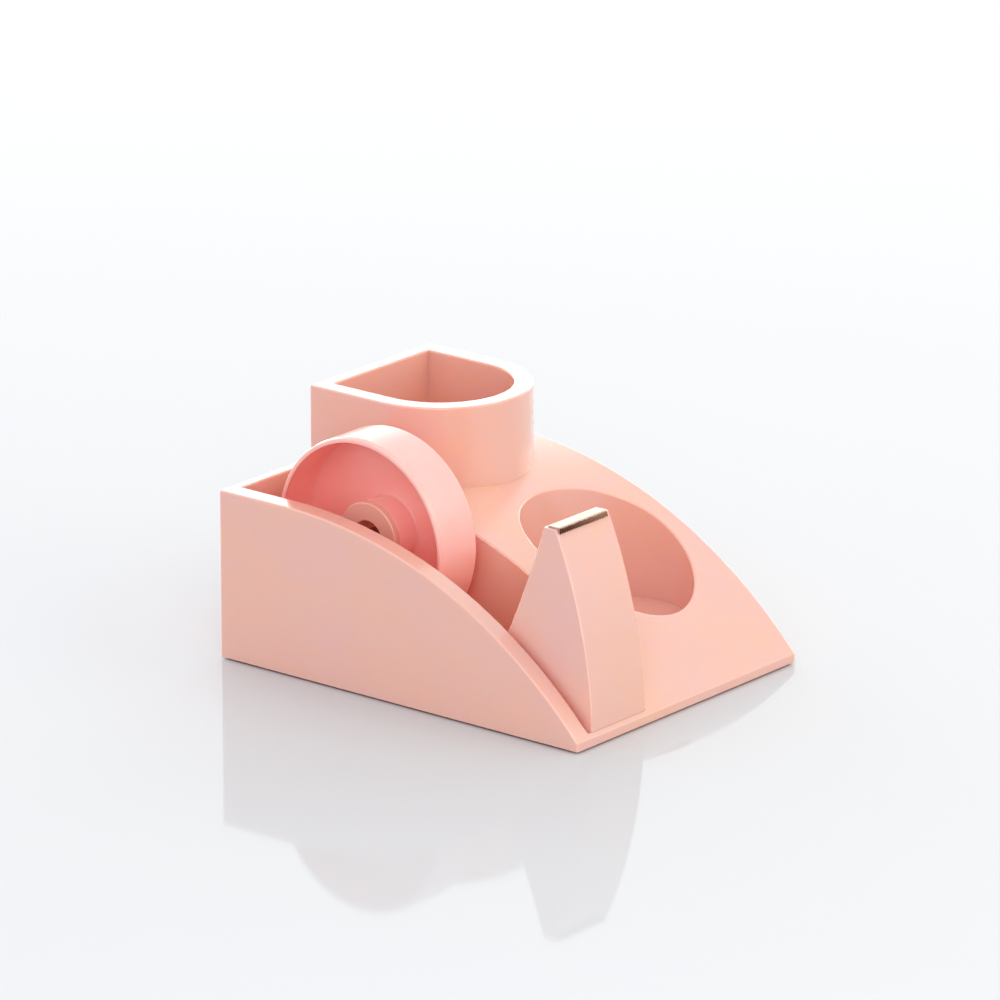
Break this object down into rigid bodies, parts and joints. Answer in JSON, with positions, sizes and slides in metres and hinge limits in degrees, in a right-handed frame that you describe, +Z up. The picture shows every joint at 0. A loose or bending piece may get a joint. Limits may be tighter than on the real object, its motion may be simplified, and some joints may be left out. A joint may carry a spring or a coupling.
{
  "type": "tape dispenser",
  "caption": "Desk tape dispenser with a lift-out wheel for 76 mm tape cores, an upright toothed cutter, a round clip well and a D-shaped pen cup.",
  "frame": {"origin": "centre of the footprint, on the desk that the rubber feet stand on", "axes": "+Y from the cutter at the front to the upright rear face, +X from the tape bay to the pen cup side, +Z up"},
  "size_m": [0.1256, 0.164, 0.091],
  "materials": {
    "coral": "high-gloss moulded plastic, salmon pink",
    "coral_matt": "fine spark-eroded matt plastic",
    "pink": "satin moulded plastic, pinker than the housing",
    "blade_steel": "ground and folded stainless strip",
    "screw_steel": "zinc-plated",
    "ballast_steel": "rolled mild steel, oiled",
    "rod_steel": "ground and plated rod",
    "foot_rubber": "translucent grey polyurethane rubber",
    "washer_fibre": "natural felted fibre"
  },
  "bodies": {
    "stand": {"housing": "coral", "cutter_tower": "coral", "cutter_blade": "blade_steel", "base_plate": "coral_matt", "foot_front_left": "foot_rubber", "foot_front_right": "foot_rubber", "foot_rear_left": "foot_rubber", "foot_rear_right": "foot_rubber", "base_screws": "screw_steel", "tower_screws": "screw_steel", "ballast_screws": "screw_steel", "ballast_front": "ballast_steel", "ballast_rear": "ballast_steel"},
    "axle": {"wheel_spool": "coral", "axle_rod": "rod_steel", "drag_washer": "washer_fibre", "spool_cap": "coral", "cap_screws": "screw_steel"},
    "wheel": {"tape_wheel": "pink"}
  },
  "joints": [
    {"name": "wheel_lift", "type": "slide", "parent": "stand", "child": "axle", "axis": [0, 0, 1], "range_m": [0, 0.1]},
    {"name": "wheel_spin", "type": "hinge", "parent": "axle", "child": "wheel", "pos_m": [-0.036, 0.0295, 0.0514], "axis": [1, 0, 0], "continuous": true}
  ]
}
